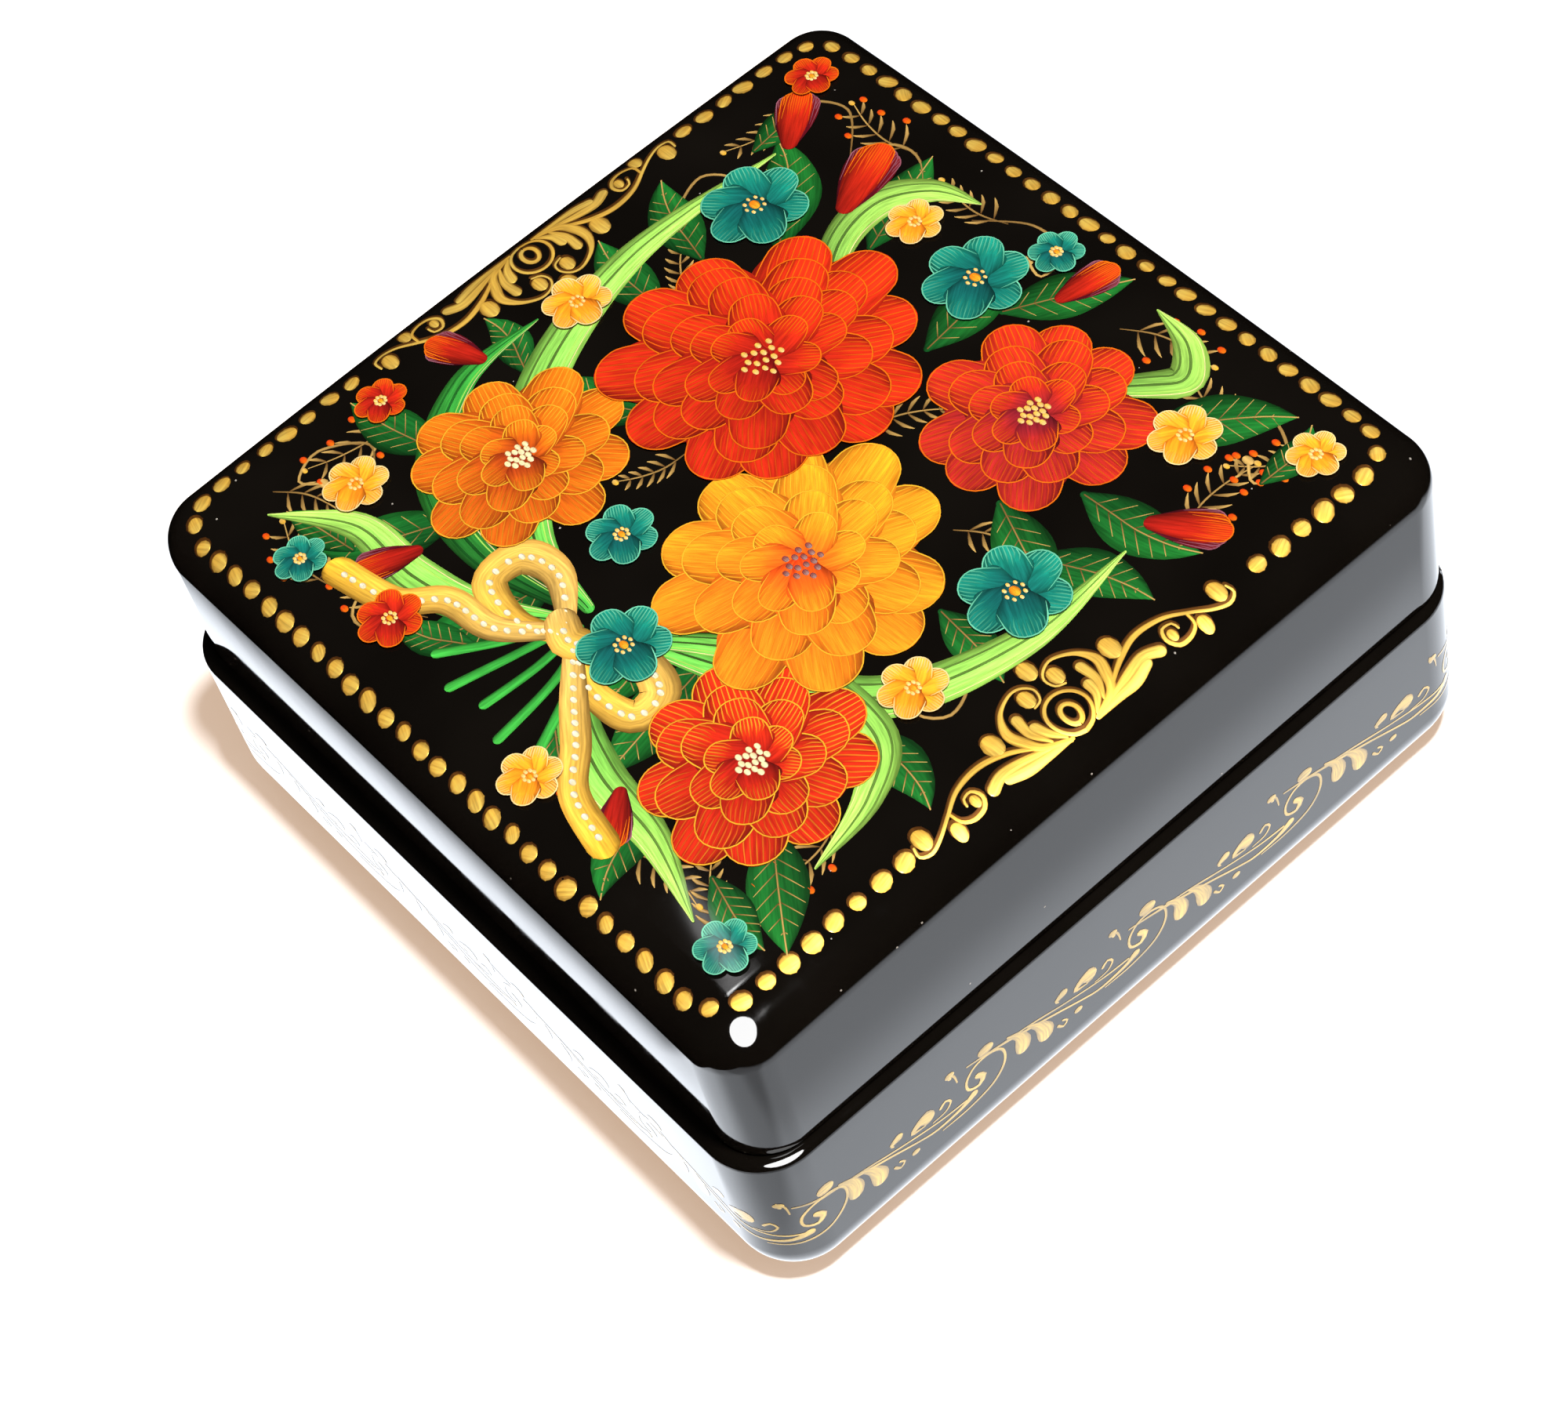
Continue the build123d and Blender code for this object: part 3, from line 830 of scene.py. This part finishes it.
def mixed(first, second, share):
    return tuple(a + (b - a) * share for a, b in zip(first, second))


# Points (out, aside, width) from x, y in the direction of angle, as places
def turned(x, y, angle, points):
    c, s = math.cos(angle), math.sin(angle)
    return [(x + out * c - aside * s, y + out * s + aside * c, width) for out, aside, width in points]


# One petal from its root outwards, with light hairs at its tip and a fine outline
def paintPetal(paint, lines, x, y, angle, start, length, width, tones, lift, bend):
    root, tip, light = tones
    cap = petal["cap"] * width
    middle = max(length - cap, 0.35 * length)
    shape = [(start, 0, 0.55 * width), (start + 0.45 * middle, bend * 0.5, 0.92 * width),
             (start + 0.8 * middle, bend * 0.85, width), (start + middle, bend, 2 * cap)]
    facing = 0.5 + 0.5 * math.cos(angle - math.radians(petal["lightFrom"]))
    far = mixed(root, tip, 0.6 + 0.4 * facing)
    paint.stroke(turned(x, y, angle, shape), lift, 0, (mixed(root, tip, 0.12 * facing), far), 3,
                 cross=(0.6, 1.2), curve=1.5)
    for k in range(petal["hairs"]):
        side = ((k + 0.5) / petal["hairs"] - 0.5) * 1.7
        reach = middle + 0.93 * cap * math.sqrt(max(0, 1 - side * side))
        begin = reach * lines.random.uniform(0.42, 0.66)
        points = [(start + begin, bend * 0.6 + side * cap * 0.8, 0.03),
                  (start + (begin + reach) / 2, bend * 0.85 + side * cap, petal["hairWidth"]),
                  (start + reach, bend + side * cap * 0.92, 0.07)]
        strength = 0.25 + 0.55 * facing + lines.random.uniform(-0.1, 0.2)
        lines.hair(turned(x, y, angle, points), lift + layer["hair"], 0,
                   (far, mixed(far, light, strength)))
    rim = [(start + 0.5 * middle, bend * 0.55 - 0.45 * width, 0.03)]
    for turn in (-85, -50, -18, 18, 50, 85):
        swing = math.radians(turn)
        rim.append((start + middle + 0.97 * cap * math.cos(swing), bend + 0.97 * cap * math.sin(swing),
                    petal["rimWidth"]))
    rim.append((start + 0.55 * middle, bend * 0.6 + 0.45 * width, 0.03))
    lines.hair(turned(x, y, angle, rim), lift + layer["line"], 0, (mixed(far, light, 0.6), light))


def paintBloom(paint, lines, bloom, lift):
    x, y, radius, rings, petals, *colours = bloom
    *tones, heart = ink(*colours)
    shake = paint.random.uniform
    for ring in range(rings):
        outer = radius * (1 - 0.8 * ring / rings)
        count = petals - ring
        for k in range(count):
            angle = 2 * math.pi * (k + 0.5 * (ring % 2)) / count + shake(-0.10, 0.10)
            width = 2 * math.pi * outer * 0.72 / count * 1.28
            length = outer * shake(0.94, 1.05) - 0.12 * outer
            paintPetal(paint, lines, x, y, angle, 0.12 * outer, length, width, tones,
                       lift + layer["petal"] * k, shake(-0.08, 0.08) * width)
        lift += layer["petal"] * count
    for k in range(16):
        reach = 0.14 * radius * math.sqrt((k + 0.5) / 16)
        lines.dot(x + reach * math.cos(2.4 * k), y + reach * math.sin(2.4 * k), 0.30, lift + layer["line"],
                  0.008, (heart, mixed(heart, inks["white"], 0.3)))
    return lift + layer["bloom"]


def paintDaisy(paint, lines, daisy, lift):
    x, y, radius, colour = daisy
    tones = ink(*daisyInks[colour])
    turn = paint.random.uniform(0, 1)
    for k in range(6):
        paintPetal(paint, lines, x, y, turn + math.pi / 3 * k, 0.1 * radius, 0.9 * radius, 0.95 * radius,
                   tones, lift + layer["daisyPetal"] * k, 0)
    reach = 0.18 * radius
    lift += layer["daisyHeart"]
    for k in range(8):
        lines.dot(x + reach * math.cos(0.785 * k), y + reach * math.sin(0.785 * k), 0.2, lift, 0.008,
                  ink("yellow", "cream"))
    lines.dot(x, y, 0.09 * radius, lift + layer["line"], 0.01, ink("orange", "yellow"))


def paintTulip(paint, lines, tulip, lift):
    x, y, degrees, size = tulip
    angle = math.radians(degrees)
    dark = ink("maroon", "deepRed", "plum")
    bright = ink("deepRed", "vermilion", "orange")
    petals = ((-0.5, dark), (0.5, dark), (-0.22, dark), (0.24, bright), (0.0, bright))
    for k, (spread, tones) in enumerate(petals):
        paintPetal(paint, lines, x, y, angle + spread * 0.7, 0, size * (1 - 0.2 * abs(spread)), size * 0.42,
                   tones, lift + layer["tulipPetal"] * k, -spread * size * 0.25)


# A long arching leaf with a lit edge
def paintBlade(paint, lines, blade, lift):
    points, (width, root, tip) = blade[:-3], blade[-3:]
    profile = (0.25, 0.8, 1.0, 0.7, 0.06)
    shape = [(*point, width * share) for point, share in zip(points, profile)]
    paint.stroke(shape, lift, 0, ink(root, tip), 3, cross=(0.5, 1.3))
    for side, tone, share in ((0.0, "darkGreen", 0.3), (0.28, "lime", 0.16), (-0.3, "darkGreen", 0.22),
                              (0.40, "cream", 0.12)):
        line = []
        for i, (x, y, full) in enumerate(shape):
            before, after = shape[max(i - 1, 0)], shape[min(i + 1, len(shape) - 1)]
            dx, dy = after[0] - before[0], after[1] - before[1]
            length = math.hypot(dx, dy)
            line.append((x + dy / length * full * side, y - dx / length * full * side,
                         max(0.05, share * min(1, full / width * 1.2))))
        lines.stroke(line, lift + layer["line"], 0, (inks[tone], mixed(inks[tone], inks[tip], 0.4)), 1)


# A broad dark leaf with veins in gold
def paintLeaf(paint, lines, leaf, lift):
    x, y, degrees, length = leaf
    angle = math.radians(degrees)
    bend = paint.random.uniform(-0.10, 0.10) * length
    width = 0.44 * length
    spine = [(0, 0, 0.15 * width), (0.25 * length, bend * 0.5, 0.8 * width), (0.5 * length, bend, width),
             (0.78 * length, bend * 0.8, 0.6 * width), (length, 0, 0.04)]
    paint.stroke(turned(x, y, angle, spine), lift, 0, ink("darkGreen", "green"), 3, cross=(0.55, 1.5))
    tone = ink("umber", "gold")
    lines.stroke(turned(x, y, angle, [(a, b, 0.16) for a, b, _ in spine]), lift + layer["line"], 0, tone, 1)
    for k in range(1, 8):
        t = k / 8.5
        middle = bend * math.sin(math.pi * t) * 0.95
        half = 0.46 * width * math.sin(math.pi * min(1, t * 1.12 + 0.06)) ** 0.7
        for side in (-1, 1):
            vein = [(t * length, middle, 0.10), (t * length + half * 0.45, middle + side * half * 0.5, 0.12),
                    (t * length + half * 0.8, middle + side * half * 0.88, 0.05)]
            lines.hair(turned(x, y, angle, vein), lift + layer["hair"], 0, tone)


# A fine sprig in gold, some with red berries
def paintSprig(lines, sprig, lift):
    x, y, degrees, length, berries = sprig
    angle = math.radians(degrees)
    bend = 0.10 * length
    tone = ink("umber", "gold")
    spine = [(0, 0, 0.12), (0.35 * length, bend, 0.22), (0.7 * length, bend * 0.8, 0.18), (length, 0, 0.12)]
    lines.stroke(turned(x, y, angle, spine), lift, 0.005, tone, 1)
    for k in range(1, 6):
        along = k / 6 * length
        middle = bend * math.sin(math.pi * k / 6)
        reach = 0.27 * length * (1 - 0.09 * k)
        for side in (-1, 1):
            leaf = [(along, middle, 0.08), (along + 0.45 * reach, middle + side * 0.62 * reach, 0.42),
                    (along + 0.9 * reach, middle + side * 0.95 * reach, 0.07)]
            lines.hair(turned(x, y, angle, leaf), lift + layer["sprigLeaf"], 0.004, tone)
            if berries and k % 2:
                berry = turned(x, y, angle, [(along + 1.05 * reach, middle + side * 1.1 * reach, 0.36)])[0]
                lines.dot(*berry, lift, 0.01, ink("vermilion", "orange"))
    tip = turned(x, y, angle, [(1.04 * length, 0, 0.30)])[0]
    lines.dot(*tip, lift, 0.01, ink("gold", "yellow"))


def paintRibbon(paint, lines, ribbon, lift):
    paint.stroke(ribbon, lift, 0, ink("gold", "yellow"), 2, cross=(0.4, 1.1))
    path = smoothPath(ribbon, 1.25)
    for x, y, width in path[1:-1]:
        lines.dot(x, y, min(0.32, width * 0.14), lift + layer["line"], 0.01, ink("white", "cream"))


def buildPainting(paintLook, lineLook):
    leaves = Paint("painted_leaves", onLid, 0.9)
    flowers = Paint("painted_flowers", onLid, 0.7)
    lines = Paint("painted_lines", onLid, 0.7)
    lift = layer["first"]
    for curl in tendrils:
        widths = (0.12, 0.3, 0.36, 0.3, 0.34)
        lines.stroke([(*point, width) for point, width in zip(curl, widths)], lift, 0.01,
                     ink("umber", "gold"), 1)
        lines.dot(*curl[-1], 0.5, lift, 0.01, ink("gold", "gold"))
    for sprig in sprigs:
        paintSprig(lines, sprig, lift)
    for leaf in broadLeaves:
        paintLeaf(leaves, lines, leaf, lift)
        lift += layer["leaf"]
    for blade in bladeLeaves:
        paintBlade(leaves, lines, blade, lift)
        lift += layer["blade"]
    for endX, endY, midX, midY in stems:
        leaves.stroke([(endX, endY, 1.1), (midX, midY, 1.0), (midX * 0.3, -24, 0.9)], lift, 0,
                      ink("grass", "green"), 1, cross=(0.5, 1.4))
        lift += layer["stem"]
    for tulip in tulips:
        paintTulip(flowers, lines, tulip, lift)
    lift += layer["tulips"]
    for ribbon in ribbons:
        paintRibbon(flowers, lines, ribbon, lift)
        lift += layer["ribbon"]
    for bloom in blooms:
        lift = paintBloom(flowers, lines, bloom, lift)
    for daisy in daisies:
        paintDaisy(flowers, lines, daisy, lift)
    leaves.finish(paintLook, "black_lacquer", "lid")
    flowers.finish(paintLook, "red_lacquer", "lid")
    lines.finish(lineLook, "brass", "lid")
    print("highest paint", round(lift, 3), "mm")


# The box

inside = {"wall": 2.45 * mm, "lidEdge": 0.2 * mm, "lidBoard": 0.05 * mm, "slack": 0.1 * mm, "above": 10 * mm}
innerX, innerY = lid["halfWidth"] - inside["wall"], lid["halfDepth"] - inside["wall"]
lidInner = ((-innerX, lid["middle"] - innerY, lidLow[2] + inside["lidEdge"]),
            (innerX, lid["middle"] + innerY, topLow[2] + inside["lidBoard"]))
baseInner = ((collarLow[0] - inside["slack"], collarLow[1] - inside["slack"],
              boardHigh[2] - inside["slack"] / 2),
             (collarHigh[0] + inside["slack"], collarHigh[1] + inside["slack"],
              collarHigh[2] + inside["above"]))

addCamera()
buildBoard()
buildStudio()
addLamps()
black = lacquerMaterial("black_lacquer")
brassWire = brassMaterial("brass_pin", (0.72, 0.52, 0.22), 0.18)
brassSheet = brassMaterial("brass_sheet", (0.78, 0.56, 0.24), 0.24)
finishes = {"lid_wall": lacquerMaterial("lid_wall_lacquer", lidInner),
            "lid_top": lacquerMaterial("lid_top_lacquer", lidInner),
            "base_wall": lacquerMaterial("base_wall_lacquer", baseInner),
            "base_bottom": lacquerMaterial("base_bottom_lacquer", baseInner),
            "base_collar": lacquerMaterial("collar_lacquer", baseInner),
            "hinge_base_leaf": brassSheet, "hinge_lid_leaf": brassSheet, "hinge_pin": brassWire,
            "hinge_base_brads": brassWire, "hinge_lid_brads": brassWire}
for node, finish in finishes.items():
    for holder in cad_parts[node].material_slots:
        holder.material = finish
print("materials set on", len(finishes), "pieces")
buildLidCoat(black)
buildBaseCoat(black)
# Each paint: how metallic and rough it is, and the darkest and lightest of its streaks
buildLidBorder(paintMaterial("gold_paint", 0.65, 0.5, (0.85, 1.25)))
buildBaseBand(paintMaterial("band_paint", 0.6, 0.5, (0.45, 0.85)))
buildPainting(paintMaterial("flower_paint", 0.0, 0.4, (0.8, 1.35)),
              paintMaterial("line_paint", 0.25, 0.4, (0.8, 1.1)))
